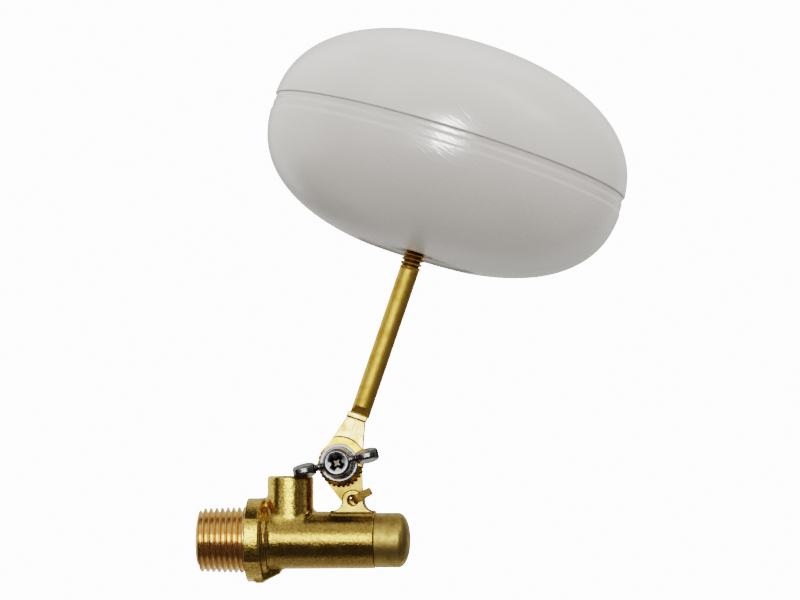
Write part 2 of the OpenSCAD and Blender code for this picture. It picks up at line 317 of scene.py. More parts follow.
class Nodes:
    """A short way to build a node tree."""

    def __init__(self, tree):
        self.tree = tree

    def add(self, kind, inputs=None, out=0, **settings):
        node = self.tree.nodes.new("ShaderNode" + kind)
        for key, value in settings.items():
            setattr(node, key, value)
        for key, value in (inputs or {}).items():
            if isinstance(value, bpy.types.NodeSocket):
                self.tree.links.new(value, node.inputs[key])
            else:
                node.inputs[key].default_value = value
        return node.outputs[out]

    def math(self, operation, a, b=0.0, clamp=False):
        return self.add("Math", {0: a, 1: b}, operation=operation, use_clamp=clamp)

    def ramp(self, value, low, high, to_low=0.0, to_high=1.0):
        """A smooth step from to_low at low to to_high at high."""
        inputs = {"Value": value, "From Min": low, "From Max": high, "To Min": to_low, "To Max": to_high}
        return self.add("MapRange", inputs, interpolation_type="SMOOTHSTEP")

    def blend(self, share, a, b):
        """Colour a, going over to colour b as share goes from 0 to 1."""
        node = self.tree.nodes.new("ShaderNodeMix")
        node.data_type = "RGBA"
        for socket, value in ((node.inputs[0], share), (node.inputs[6], a), (node.inputs[7], b)):
            if isinstance(value, bpy.types.NodeSocket):
                self.tree.links.new(value, socket)
            else:
                socket.default_value = (*value, 1) if isinstance(value, tuple) else value
        return node.outputs[2]

    def noise(self, size, detail=3.0, rough=0.5, stretch=(1, 1, 1), turn=(0, 0, 0)):
        """Noise in blobs of size millimetres, stretched along their own axes and then turned."""
        inputs = {"Vector": self.add("TexCoord", out=3), "Scale": stretch, "Rotation": turn}
        spot = self.add("Mapping", inputs, vector_type="TEXTURE")
        inputs = {"Vector": spot, "Scale": 1 / (size * MM), "Detail": detail, "Roughness": rough}
        return self.add("TexNoise", inputs)

    def attribute(self, name):
        return self.add("Attribute", out=2, attribute_name=name)

    def bump(self, height, distance, strength=1.0, normal=None):
        """A bump of distance millimetres, on top of another normal if there is one."""
        inputs = {"Height": height, "Distance": distance * MM, "Strength": strength}
        if normal is not None:
            inputs["Normal"] = normal
        return self.add("Bump", inputs)


class Material(Nodes):
    """A node tree round one shader."""

    def __init__(self, name, metallic=1.0):
        self.material = bpy.data.materials.new(name)
        self.material.use_nodes = True
        super().__init__(self.material.node_tree)
        self.shader = self.tree.nodes["Principled BSDF"]
        self.shader.inputs["Metallic"].default_value = metallic

    def finish(self, colour, roughness, normal):
        for key, value in (("Base Color", colour), ("Roughness", roughness), ("Normal", normal)):
            self.tree.links.new(value, self.shader.inputs[key])
        return self.material


def cast_brass():
    """Tumbled cast brass: bright on what sticks out, brown in the hollows, with a fine pitted skin and a painted
    shade line on the ears' top edges.
    """
    bright = (0.80, 0.56, 0.165)
    patina = (0.44, 0.255, 0.065)
    dull_skin = (0.38, 0.26, 0.085)
    pit = (0.36, 0.21, 0.05)
    worn_edge = (0.88, 0.66, 0.27)
    painted_edge_shade = (0.16, 0.08, 0.02)
    nodes = Material("cast_brass")
    blotch = nodes.noise(3.5, 4)
    grain = nodes.noise(0.75, 3, 0.7)
    dull = nodes.attribute("dull")
    dirt = nodes.ramp(nodes.attribute("hollow"), 0.22, 0.75)
    dirt = nodes.math("ADD", dirt, nodes.ramp(blotch, 0.45, 0.75, -0.05, 0.28), clamp=True)
    colour = nodes.blend(dirt, bright, patina)
    colour = nodes.blend(nodes.math("MULTIPLY", dull, 0.62), colour, dull_skin)
    colour = nodes.blend(nodes.ramp(grain, 0.43, 0.62, 0.0, 0.75), colour, pit)
    colour = nodes.blend(nodes.math("MULTIPLY", nodes.attribute("rim"), 0.35), colour, worn_edge)
    worn = nodes.math("ADD", blotch, nodes.math("MULTIPLY", dirt, 0.5))
    worn = nodes.math("ADD", worn, nodes.math("MULTIPLY", dull, 0.3))
    roughness = nodes.ramp(worn, 0.3, 1.3, 0.12, 0.30)
    skin = nodes.bump(grain, 0.09, 0.8)
    dents = nodes.bump(nodes.noise(2.4, 2), 0.12, 0.45, skin)
    # Painted shade: a dark line along the ears' top edges, where the edge attribute is set.
    colour = nodes.blend(nodes.attribute("edge"), colour, painted_edge_shade)
    return nodes.finish(colour, roughness, dents)


def cut_thread():
    """The machined thread: coppery, browner on its crests, with fine tool lines."""
    crest = (0.84, 0.58, 0.30)
    crest_blotch = (0.74, 0.48, 0.22)
    flank = (0.94, 0.71, 0.42)
    nodes = Material("cut_thread")
    lines = nodes.noise(0.12, 2, stretch=(1, 25, 25))
    blotch = nodes.noise(1.8, 4)
    colour = nodes.blend(nodes.ramp(blotch, 0.35, 0.7), crest, crest_blotch)
    below_crest = nodes.ramp(nodes.attribute("hollow"), 0.05, 0.6, 0.0, 0.85)
    colour = nodes.blend(below_crest, colour, flank)
    normal = nodes.bump(lines, 0.02, 0.3)
    return nodes.finish(colour, nodes.ramp(blotch, 0.3, 0.7, 0.17, 0.26), normal)


def milled_brass(name, colour, lines_along, turn=(0, 0, 0), rough=(0.16, 0.30)):
    """Bright brass with fine straight tool or rolling marks, and a little tarnish."""
    coined = (0.60, 0.36, 0.06)
    tarnish = (0.46, 0.28, 0.07)
    dirt = (0.20, 0.11, 0.03)
    darker = tuple(c * k for c, k in zip(colour, (0.80, 0.72, 0.50)))
    nodes = Material(name)
    stretch = tuple(20.0 if axis == lines_along else 1.0 for axis in "XYZ")
    marks = nodes.noise(0.22, 3, 0.6, stretch, turn)
    cloud = nodes.noise(4.0, 4, 0.55)
    speck = nodes.noise(0.5, 3, 0.7)
    shade = nodes.blend(nodes.ramp(cloud, 0.40, 0.68, 0.0, 0.8), colour, darker)
    shade = nodes.blend(nodes.ramp(speck, 0.56, 0.76, 0.0, 0.5), shade, tarnish)
    shade = nodes.blend(nodes.attribute("coined"), shade, coined)
    # Darker with dirt in the hollows; on the arm the hollow share also carries painted shade on the disc's lower
    # rim.
    shade = nodes.blend(nodes.ramp(nodes.attribute("hollow"), 0.3, 0.9, 0.0, 0.8), shade, dirt)
    normal = nodes.bump(marks, 0.014, 0.35)
    normal = nodes.bump(speck, 0.02, 0.25, normal)
    return nodes.finish(shade, nodes.ramp(cloud, 0.35, 0.7, *rough), normal)


def turned_brass():
    """The satin cap: fine rings about the barrel's axis, slightly uneven and dull olive."""
    nodes = Material("turned_brass")
    rings = nodes.noise(0.16, 3, 0.7, (1, 50, 50))
    cloud = nodes.noise(3.0, 4, 0.6)
    speck = nodes.noise(0.40, 3, 0.7)
    colour = nodes.blend(nodes.ramp(cloud, 0.35, 0.7), (0.64, 0.47, 0.17), (0.46, 0.32, 0.10))
    colour = nodes.blend(nodes.ramp(speck, 0.52, 0.78, 0.0, 0.6), colour, (0.26, 0.165, 0.045))
    normal = nodes.bump(rings, 0.03, 0.4)
    normal = nodes.bump(speck, 0.04, 0.45, normal)
    return nodes.finish(colour, nodes.ramp(cloud, 0.3, 0.7, 0.40, 0.50), normal)


def wire_brass():
    """The split pin: dull brown wire, rubbed bright in places."""
    nodes = Material("pin_brass")
    cloud = nodes.noise(1.6, 4, 0.6)
    colour = nodes.blend(nodes.ramp(cloud, 0.38, 0.66), (0.62, 0.40, 0.12), (0.26, 0.13, 0.03))
    normal = nodes.bump(nodes.noise(0.4, 3), 0.04, 0.4)
    return nodes.finish(colour, nodes.ramp(cloud, 0.3, 0.7, 0.26, 0.42), normal)


def nickel():
    """Cast and nickel plated: bright, softly lumpy, with brown dirt in its hollows and painted shade in the wing
    screw's cross recess.
    """
    plate_colour = (0.25, 0.25, 0.255)
    dirt_and_shade_colour = (0.075, 0.06, 0.042)
    nodes = Material("nickel")
    lumps = nodes.noise(1.5, 3)
    grain = nodes.noise(0.35, 3, 0.6)
    # Darker with dirt in the hollows, and with painted shade in the wing screw's cross recess.
    dirt = nodes.ramp(nodes.attribute("hollow"), 0.5, 1.0, 0.0, 0.85)
    colour = nodes.blend(dirt, plate_colour, dirt_and_shade_colour)
    normal = nodes.bump(lumps, 0.12, 0.6)
    normal = nodes.bump(grain, 0.03, 0.4, normal)
    return nodes.finish(colour, nodes.ramp(lumps, 0.3, 0.7, 0.12, 0.24), normal)


def float_plastic(name, colour):
    """Warm white moulded plastic, with faint clouding and hair scratches that show in its shine."""
    nodes = Material(name, metallic=0.0)
    nodes.shader.inputs["IOR"].default_value = 1.5
    cloud = nodes.noise(22, 2)
    shade = nodes.blend(cloud, colour, tuple(c * 0.93 for c in colour))
    fine = nodes.noise(0.7, 2, 0.6, (18, 1, 1), (0, math.radians(36), 0))
    cross = nodes.noise(1.0, 2, 0.6, (14, 1, 1), (0, math.radians(52), 0))
    normal = nodes.bump(nodes.ramp(fine, 0.46, 0.66), 0.035, 0.7)
    normal = nodes.bump(nodes.ramp(cross, 0.50, 0.70), 0.02, 0.4, normal)
    return nodes.finish(shade, nodes.ramp(cloud, 0.2, 0.8, 0.17, 0.22), normal)


def rubber():
    nodes = Material("seal_rubber", metallic=0.0)
    grain = nodes.noise(0.3, 3)
    colour = nodes.blend(grain, (0.012, 0.012, 0.012), (0.03, 0.029, 0.028))
    normal = nodes.bump(grain, 0.02, 0.5)
    return nodes.finish(colour, nodes.ramp(grain, 0.3, 0.7, 0.5, 0.7), normal)


LEVER_TILT = (0, math.radians(-20), 0)
ARM_TILT = (0, math.radians(ARM_LEAN), 0)
CAST = cast_brass()
THREAD = cut_thread()
MILLED = milled_brass("milled_brass", (0.80, 0.58, 0.21), "X", rough=(0.34, 0.44))
STAMPED = milled_brass("stamped_brass", (0.52, 0.35, 0.12), "Z", turn=LEVER_TILT, rough=(0.32, 0.42))
FLAT = milled_brass("flat_brass", (0.95, 0.73, 0.33), "Z", turn=ARM_TILT, rough=(0.2, 0.36))
ROD = milled_brass("rod_brass", (0.82, 0.56, 0.15), "Z", turn=ARM_TILT, rough=(0.46, 0.54))
TURNED = turned_brass()
WIRE = wire_brass()
NICKEL = nickel()
# The lower shell's copy is a little darker than the upper's: painted shade on the float's underside.
UPPER_PLASTIC = float_plastic("float_plastic_upper", (0.66, 0.635, 0.61))
SHADED_LOWER_PLASTIC = float_plastic("float_plastic_lower_shaded", (0.63, 0.605, 0.58))
RUBBER = rubber()


# ---- valve body

HEX_AF = 23.3
HEX_CROWN_R = 19.0
HEX_BULGE = 1.1
HEX_END = THREAD_LEN + 5.3
COLLAR_R = 10.6
COLLAR_END = THREAD_LEN + 6.7
FOOT_END = 26.4
FOOT_HALF = 3
FOOT_LOW = -13.3
BARREL_R = 9.1
BARREL_SPAN = 13.6
JOINT_X = CAP_X - 11.3
BOSS_R = 7.4
BODY_STEP = 0.3

EAR_R = 3.5
EAR_FILLET = 3.3
EAR_FACE = 3.9
MILLED_FLOOR = 8.65
LEVER_GAP = 1.5
WINDOW = (45.2, 53.4)

SEAT_BORE_R = 5.0
CHAMBER_X = 24.0
CHAMBER_R = 6.35
SOCKET_R = 7.75
SOCKET_DEPTH = 2.6
PORT_R = 4.0
PIN_HOLE_R = 1.6

THREAD_PITCH = 1.814
THREAD_DEPTH = 1.45
THREAD_PHASE = 1.04


def hexagon(x, y, z):
    """The hexagon, with slightly crowned flats."""
    flats = np.full_like(x, -100.0)
    for turn in np.radians((0, 60, 120)):
        towards = y * np.cos(turn) + z * np.sin(turn)
        beside = z * np.cos(turn) - y * np.sin(turn)
        flats = np.maximum(flats, np.abs(towards) + beside**2 / (2 * HEX_CROWN_R))
    solid = round_and(flats - HEX_AF / 2 - HEX_BULGE, THREAD_LEN - x, 0.25)
    return round_and(solid, x - HEX_END, 1.2)


def barrel_and_collar(x, rho):
    """The barrel, a little narrower at the cap, and the collar at the hexagon."""
    collar = round_and(rho - COLLAR_R, np.abs(x - COLLAR_END + 0.6) - 0.6, 0.5)
    barrel = round_and(rho - (BARREL_R + 0.22 - 0.009 * (x - 22)), x - JOINT_X, 0.2)
    barrel = meet(barrel, THREAD_LEN + 1 - x)
    return round_or(barrel, collar, 1.5)


def foot(x, y, z):
    """The small wedge under the barrel."""
    lean = 0.433 * (x - HEX_END) - 0.901 * (z + 13.25)
    solid = round_and(round_and(lean, x - FOOT_END - 0.1, 0.5), np.abs(y) - FOOT_HALF, 1.3)
    return meet(solid, z + 5, HEX_END - 2.0 - x, FOOT_LOW - z)


def outlet_boss(x, y, z):
    solid = round_and(np.hypot(x - OUTLET[0], y) - BOSS_R, z - OUTLET[2], 1.0)
    return meet(solid, -z)


def ears(x, y, z):
    """Both ears as one block, before the gap is cut."""
    along = np.abs(x - PIVOT[0])
    stem = np.where(z > PIVOT[2], np.hypot(along, z - PIVOT[2]), along) - EAR_R
    solid = round_or(stem, z - BARREL_R - 0.1, EAR_FILLET)
    solid = meet(solid, along - EAR_R - EAR_FILLET - 0.1)
    solid = round_and(solid, np.abs(y) - EAR_FACE - 0.9, 0.5)
    return meet(solid, x - JOINT_X, -z)


def with_ear_cuts(solid, x, y, z):
    """Cuts the milled faces, the lever's gap and its finger's window."""
    along = np.abs(x - PIVOT[0])
    milled = meet(EAR_FACE - np.abs(y), MILLED_FLOOR - z, along - EAR_R - EAR_FILLET - 1)
    solid = without(solid, milled, 0.4)
    solid = without(solid, meet(np.abs(y) - LEVER_GAP, BARREL_R - z, along - 8), 0.15)
    window = meet(WINDOW[0] - x, x - WINDOW[1], np.abs(y) - LEVER_GAP, -z)
    return without(solid, window, 0.1)


def with_bores(solid, x, y, z, rho):
    """Cuts the barrel's bores, the outlet and its port, and the pivot's hole."""
    for radius, start, end in (
        (INLET_R, 0, INSERT_X),
        (SEAT_BORE_R, INSERT_X - 1, CHAMBER_X + 1),
        (CHAMBER_R, CHAMBER_X, JOINT_X + 5),
        (SOCKET_R, JOINT_X - SOCKET_DEPTH, JOINT_X + 5),
    ):
        solid = without(solid, meet(rho - radius, start - x, x - end))
    across = np.hypot(x - OUTLET[0], y)
    solid = without(solid, meet(across - OUTLET_R, OUTLET_FLOOR - z), 0.35)
    solid = without(solid, meet(across - PORT_R, -z), 0.2)
    pin = np.hypot(x - PIVOT[0], z - PIVOT[2]) - PIN_HOLE_R
    return without(solid, meet(pin, np.abs(y) - 8), 0.2)


def casting(x, y, z):
    """The valve body from the hexagon's front face on."""
    rho = np.hypot(y, z)
    nut = hexagon(x, y, z)
    boss = outlet_boss(x, y, z)
    solid = round_or(barrel_and_collar(x, rho), nut, 1.0)
    solid = round_or(solid, foot(x, y, z), 1.6)
    solid = np.minimum(round_or(solid, boss, 1.5), round_or(nut, boss, 2.6))
    solid = round_or(solid, ears(x, y, z), 1.1)
    solid = with_ear_cuts(solid, x, y, z)
    return with_bores(solid, x, y, z, rho)


def barrel_skin(verts):
    """1 on the front of the barrel, where its skin is dull, and 0 away from it."""
    x, y, z = verts.T
    from_boss = np.hypot(x - OUTLET[0], y) - BOSS_R
    clear = np.where(z > 0, from_boss + np.clip(8 - z, 0, 8) / 2, 4.0)
    near = np.clip((BARREL_R + 1.2 - np.hypot(y, z)) / 0.8, 0, 1)
    return near * np.clip((x - COLLAR_END - 0.5) / 2, 0, 1) * np.clip(clear / 2, 0, 1)


def painted_ear_edge_shade(verts):
    """The thin line of painted shade between an ear's milled face and its rim."""
    x, y, z = verts.T
    beside_face = (np.abs(y) < EAR_FACE - 0.02) & (np.abs(y) > 2) & (z > MILLED_FLOOR + 0.2)
    return beside_face & (np.abs(x - PIVOT[0]) < EAR_R + EAR_FILLET)


def milled_faces(centres):
    x, y, z = centres.T
    on_ear = (np.abs(x - PIVOT[0]) < EAR_R + EAR_FILLET) & (z > MILLED_FLOOR - 0.05)
    return on_ear & (np.abs(np.abs(y) - EAR_FACE) < 0.03)


def inlet_crest(height):
    """A slight taper with a chamfered end."""
    return np.minimum(THREAD_R - 0.5 * (1 - height / THREAD_LEN), 8.3 + 1.75 * height)


def inlet_relief(height):
    """The thread runs out just before the hexagon."""
    return np.clip((THREAD_LEN - 0.3 - height) / 1.2, 0, 1)


def inlet_thread():
    """Points along +X, quads and the depth below the crest from 0 to 1."""
    points, quads = threaded(
        inlet_crest, THREAD_PITCH, THREAD_DEPTH, THREAD_LEN, INLET_R, THREAD_PHASE, inlet_relief
    )
    radius = np.hypot(points[:, 0], points[:, 1])
    root = np.clip((inlet_crest(points[:, 2]) - radius) / THREAD_DEPTH, 0, 1)
    return points[:, [2, 0, 1]], quads, root * (radius > INLET_R + 0.1)


def valve_casting():
    low = (THREAD_LEN, -BARREL_SPAN, -BARREL_SPAN)
    high = (JOINT_X, BARREL_SPAN, OUTLET[2])
    verts, quads = surface_net(casting, low, high, BODY_STEP * COARSE)
    hollow, rim = hollowness(casting, verts)
    milled = milled_faces(verts[quads].mean(1))
    points, rings, root = inlet_thread()
    all_verts, all_quads = merged([(verts, quads), (points, rings)])
    material = np.concatenate([milled.astype(int), np.full(len(rings), 2)])
    obj = make_object("valve_casting", all_verts, all_quads, [CAST, MILLED, THREAD], material)
    no_mark = np.zeros(len(points))
    store(obj, "hollow", hollow, root)
    store(obj, "rim", rim, no_mark)
    # The edge attribute marks a painted shade line along the ears' top edges.
    store(obj, "edge", painted_ear_edge_shade(verts), no_mark)
    store(obj, "dull", barrel_skin(verts), no_mark)
    return obj


# ---- turned pieces

ALONG_X = rotation(90, "Y")
ALONG_MINUS_Y = rotation(90, "X")
CAP_R = 8.7
CAP_WALL = 3.0
CAP_HOLLOW_R = 6.6
CAP_SPIGOT_R = 7.7
CAP_EDGE = 0.35
CAP_CROWN = (7.8, 3.75)


def end_cap():
    """A cup with a softly crowned end, pushed into the barrel by a spigot."""
    start = JOINT_X
    end = CAP_X
    profile = [(CAP_HOLLOW_R, start - 2.5), (CAP_SPIGOT_R, start - 2.5)]
    profile += [(CAP_SPIGOT_R, start + 0.02), (CAP_R - CAP_EDGE, start + 0.02)]
    profile += arc((CAP_R - CAP_EDGE, start + 0.02 + CAP_EDGE), CAP_EDGE, -90, 0, 5)
    profile += arc((CAP_R - CAP_CROWN[0], end - CAP_CROWN[1]), CAP_CROWN, 0, 90, 40)
    profile += [(0.0, end), (0.0, end - CAP_WALL), (CAP_HOLLOW_R, end - CAP_WALL)]
    return turned("end_cap_turned", profile, 192, ALONG_X, (0, 0, 0), TURNED)


def washer():
    edge = 0.25
    flat_r = WASHER_R - edge
    profile = [(SCREW_HOLE_R, WASHER_BACK), (flat_r, WASHER_BACK)]
    profile += arc((flat_r, WASHER_BACK - edge), edge, 90, 0, 4)
    profile += arc((flat_r, WASHER_FRONT + edge), edge, 0, -90, 4)
    profile += [(SCREW_HOLE_R, WASHER_FRONT)]
    profile = [(r, -h) for r, h in profile]
    obj = turned("clamp_washer_plated", profile, 160, ALONG_MINUS_Y, (SCREW[0], 0, SCREW[2]), NICKEL)
    store(obj, "hollow", np.zeros(len(obj.data.vertices)))
    return obj


# ---- lever

LEVER_HEAD_R = 7.0
LEVER_PIVOT_R = 3.16
PIVOT_HOLE_R = 1.62
LEVER_EDGE = 0.22
FINGER_LEN = 10.5
FINGER_TIP_R = 2.0
FINGER_HALF = 1.5


def circle_points(centre, r, start, end, steps):
    return [Vector((x, 0, z)) for x, z in arc(centre, r, start, end, steps)]


def hole_points(centre, r, count):
    return circle_points(centre, r, 360, 360 / count, count - 1)


def plate(name, outline, holes, y0, y1, materials, edge):
    """A plate in the X-Z plane with round holes, from y0 to y1, with its edges rounded."""
    bm = bmesh.new()
    edges = []
    for loop in [outline] + holes:
        ring = [bm.verts.new((p[0] * MM, y0 * MM, p[2] * MM)) for p in loop]
        edges += [bm.edges.new((a, b)) for a, b in zip(ring, ring[1:] + ring[:1])]
    filled = bmesh.ops.triangle_fill(bm, use_beauty=True, use_dissolve=False, edges=edges)
    faces = [f for f in filled["geom"] if isinstance(f, bmesh.types.BMFace)]
    extruded = bmesh.ops.extrude_face_region(bm, geom=faces)
    moved = [v for v in extruded["geom"] if isinstance(v, bmesh.types.BMVert)]
    bmesh.ops.translate(bm, verts=moved, vec=(0, (y1 - y0) * MM, 0))
    bmesh.ops.recalc_face_normals(bm, faces=bm.faces)
    mesh = bpy.data.meshes.new(name)
    bm.to_mesh(mesh)
    bm.free()
    obj = link_object(name, mesh, materials)
    bevel = obj.modifiers.new("edges", "BEVEL")
    bevel.width = edge * MM
    bevel.segments = 3
    bevel.limit_method = "ANGLE"
    bevel.angle_limit = math.radians(50)
    bevel.harden_normals = True
    bpy.context.view_layer.update()
    evaluated = obj.evaluated_get(bpy.context.evaluated_depsgraph_get())
    bevelled = bpy.data.meshes.new_from_object(evaluated)
    obj.modifiers.clear()
    obj.data = bevelled
    return obj


def lever():
    """A teardrop from the clamp screw to the pivot, with a finger down into the piston."""
    screw = SCREW[[0, 2]]
    pivot = PIVOT[[0, 2]]
    towards = screw - pivot
    length = float(np.linalg.norm(towards))
    up = math.degrees(math.atan2(towards[1], towards[0]))
    lean = math.degrees(math.asin((LEVER_HEAD_R - LEVER_PIVOT_R) / length))
    down = -90 - SWING / 2
    tip = arc(pivot, FINGER_LEN, down, down, 0)[0]
    spread = math.degrees(math.asin(FINGER_HALF / LEVER_PIVOT_R))
    reach = math.degrees(math.asin(FINGER_HALF / FINGER_TIP_R))
    outline = circle_points(screw, LEVER_HEAD_R, up - 90 - lean, up + 90 + lean, 56)
    outline += circle_points(pivot, LEVER_PIVOT_R, up + 90 + lean, 360 + down - spread, 8)
    outline += circle_points(tip, FINGER_TIP_R, down - 180 + reach + 360, down + 180 - reach + 360, 24)
    outline += circle_points(pivot, LEVER_PIVOT_R, down + spread + 360, up - 90 - lean + 360, 8)
    holes = [hole_points(pivot, PIVOT_HOLE_R, 40), hole_points(screw, SCREW_HOLE_R, 60)]
    return plate("lever_plate", outline, holes, -LEVER_T / 2, LEVER_T / 2, [STAMPED], LEVER_EDGE)


# ---- float arm, in a frame with +Z along the rod

ARM_TURN = rotation(ARM_LEAN, "Y")
ARM_ORIGIN = np.array([SCREW[0], 0, SCREW[2]])
ARM_MID = SCREW[1]
ARM_BACK = -1.25
ARM_FRONT = -3.6
ARM_STEP = 0.2
ROD_R = 3.175
ROD_OFFSET = 1.2
FLAT_OFFSET = 0.6
DISC_R = 7.2
DISC_DROP = 0.3
TEETH = 28
SEAT_R = 8.4
CREASE_Z = 15.9
NET_END = 19.5
ROD_THREAD = 65.9
ROD_END = 83.0
ROD_PITCH = 1.411
ROD_DEPTH = 0.95
ROD_CREST = 0.42


def pad_outline(x, z):
    """The toothed disc, and the taper from it to the rod."""
    across = x - FLAT_OFFSET
    along = z + DISC_DROP
    disc = np.hypot(across, along) - DISC_R
    half = DISC_R + 0.1 - (z + 1.0) * 0.262
    taper = meet((np.abs(across) - half) * 0.967, -z, z - 16.2)
    outline = round_or(disc, taper, 1.0)
    angle = np.arctan2(across, -along)
    tooth = np.abs((angle * TEETH / (2 * np.pi)) % 1 - 0.5) - 0.2
    notch = meet(tooth * 1.6, DISC_R - 0.5 - np.hypot(across, along))
    return meet(outline, -meet(notch, z - 1))


def arm(x, y, z):
    """The flattened end with its coined seat and teeth, the stepped crease, and the plain rod."""
    across = x - FLAT_OFFSET
    outline = pad_outline(x, z)
    crown = 0.014 * np.minimum(across**2, 25) * np.clip((z - 6) / 4, 0, 1)
    thick = np.abs(y - (ARM_BACK + ARM_FRONT) / 2) - (ARM_BACK - ARM_FRONT) / 2 + crown
    flat = round_and(outline, thick, 0.22)
    radius = np.hypot(x, z)
    seat = meet(radius - SEAT_R, y - (ARM_FRONT + 0.12 * (radius - WASHER_R)))
    flat = without(flat, seat, 0.12)
    flat = meet(flat, np.minimum((outline + 1.2 - (y - ARM_FRONT)) * 0.707, 1.0 - z))
    ridge = meet(np.abs(z - CREASE_Z) - 0.8, np.abs(across) - 3.3)
    ridge = round_and(ridge, np.abs(y - ARM_MID) - 1.4, 0.25)
    rod = np.hypot(x - ROD_OFFSET, y - ARM_MID) - ROD_R
    ramp = -0.60 * (z - 17.0) + 0.80 * (np.abs(y - ARM_MID) - 1.15)
    rod = round_and(meet(rod, 16.4 - z), ramp, 0.25)
    rod = meet(rod, z - ROD_THREAD - 0.2)
    solid = round_or(round_or(flat, ridge, 0.25), rod, 0.3)
    return without(solid, np.hypot(x, z) - SCREW_HOLE_R, 0.15)


def cut_off_arm(x, y, z):
    return meet(arm(x, y, z), z - 19.6)


def arm_end():
    """Points, quads, which quads are flat, and how hollow and how coined each point is. The hollow share also
    paints shade on the disc's lower rim.
    """
    low = (FLAT_OFFSET - 7.8, ARM_MID - ROD_R - 0.2, -7.8)
    high = (FLAT_OFFSET + 7.8, ARM_MID + ROD_R + 0.2, 20.0)
    verts, quads = surface_net(cut_off_arm, low, high, ARM_STEP * COARSE)
    quads = quads[verts[quads][..., 2].max(1) < NET_END]
    x, _, z = verts.T
    hollow, _ = hollowness(arm, verts)
    from_disc = np.hypot(x - FLAT_OFFSET, z + DISC_DROP)
    # Painted shade: the toothed disc's lower rim, below the hub, counts as fully hollow and so goes dark.
    hollow = np.maximum(hollow, np.clip(from_disc - 5.9, 0, 1) * (z < 2.5))
    coined = 0.75 * np.clip((8.5 - np.hypot(x, z)) / 0.4, 0, 1)
    coined = np.maximum(coined, 0.45 * np.clip((FLAT_OFFSET - 0.5 - x) / 3.5, 0, 1))
    centre = verts[quads].mean(1)
    slope = gradient(arm, centre, NORMAL_REACH)
    facet = slope[:, 2] > 0.3 * np.linalg.norm(slope, axis=1)
    is_flat = (centre[:, 2] < 16.6) | ((centre[:, 2] < 19.4) & facet)
    return verts, quads, is_flat, hollow, coined


def plain_rod():
    profile = [(0.0, 19.0), (ROD_R, 19.0)]
    profile += [(ROD_R, h) for h in np.linspace(19.4, ROD_THREAD, 60)]
    profile += [(0.0, ROD_THREAD)]
    points, quads = revolved(profile, 96)
    return points + (ROD_OFFSET, ARM_MID, 0), quads


def rod_crest(height):
    return np.minimum(ROD_R + ROD_CREST, ROD_R + 0.05 + 0.5 * height)


def rod_relief(height):
    return np.clip(height / 0.8, 0, 1)


def rod_screw():
    """The rod's threaded end: points, quads and the depth below the crest from 0 to 1."""
    length = ROD_END - ROD_THREAD
    points, quads = threaded(rod_crest, ROD_PITCH, ROD_DEPTH, length, 0.01, 0.35, rod_relief)
    radius = np.hypot(points[:, 0], points[:, 1])
    root = np.clip((ROD_R + ROD_CREST - radius) / ROD_DEPTH, 0, 1)
    return points + (ROD_OFFSET, ARM_MID, ROD_THREAD), quads, root


def float_arm():
    verts, quads, is_flat, hollow, coined = arm_end()
    rod, rod_quads = plain_rod()
    screw, screw_quads, root = rod_screw()
    points, faces = merged([(verts, quads), (rod, rod_quads), (screw, screw_quads)])
    material = np.concatenate([np.where(is_flat, 0, 1), np.ones(len(rod_quads) + len(screw_quads))])
    points = placed(points, ARM_TURN, ARM_ORIGIN)
    obj = make_object("float_arm_rod", points, faces, [FLAT, ROD], material)
    store(obj, "hollow", hollow, np.zeros(len(rod)), root)
    store(obj, "coined", coined, np.zeros(len(rod) + len(screw)))
    return obj


# ---- wing screw, in a frame with -Y out of its hub

WING_ANGLE = 13.4
WING_STEP = 0.13
HUB_LEN = 8.1
HUB_BACK = WASHER_FRONT
HUB_FRONT = WASHER_FRONT - HUB_LEN
HUB_R = 4.3
HUB_FLARE = 0.9
DISH_SPHERE_R = 12.0
HUB_DISH_R = 3.3
WING_SHIFT = 0.4
WING_REACH = 10.2
WING_WIDE = 3.7
WING_MIDDLE = -10.5
WING_DEEP = 2.82
KNOB_REACH = 5.3
KNOB_R = 1.35
SHANK_R = 3.1
SHANK_END = 3.4
RECESS_DEPTH = 2.2


def hub(y, rho):
    """The flared hub with its shallow dish."""
    flare = rho - (HUB_R + HUB_FLARE * (y - HUB_FRONT) / HUB_LEN)
    solid = round_and(flare, np.abs(y - (HUB_BACK + HUB_FRONT) / 2) - HUB_LEN / 2, 1.1)
    dish = np.hypot(rho, y - HUB_FRONT + 11.54) - DISH_SPHERE_R
    return without(solid, meet(dish, rho - HUB_DISH_R), 0.25)


def wings(x, y, z):
    """On each side an oval ear, the web to it, and a knob."""
    reach = np.abs(x + WING_SHIFT)
    across = (reach - WING_REACH) / WING_WIDE
    deep = (y - WING_MIDDLE) / WING_DEEP
    ear = (np.hypot(across, deep) - 1) * WING_DEEP
    thick = 1.25 + 0.30 * np.clip(y - HUB_FRONT - 0.5, 0, 4)
    ear = round_and(ear, np.abs(z) - thick, 0.75)
    web = round_and(np.abs(y - WING_MIDDLE - 0.9) - 1.7, np.abs(z) - 0.95, 0.5)
    web = meet(web, 2.5 - reach, reach - WING_REACH)
    knob = np.hypot(np.hypot(reach - KNOB_REACH, (y - WING_MIDDLE + 0.4) * 0.8), z) - KNOB_R
    return round_or(round_or(ear, web, 0.5), knob, 0.3)


def cross_recess(x, y, z):
    """The cross in the hub, which narrows towards its floor."""
    depth = y - HUB_FRONT
    a = np.abs(x + z) * 0.7071
    b = np.abs(x - z) * 0.7071
    slot = 0.80 - 0.20 * depth
    tip = 2.55 - 0.60 * depth
    cross = np.minimum(round_and(a - tip, b - slot, 0.2), round_and(b - tip, a - slot, 0.2))
    cross = round_or(cross, np.hypot(a, b) - 1.55 + 0.40 * depth, 0.3)
    return meet(cross, depth - RECESS_DEPTH)


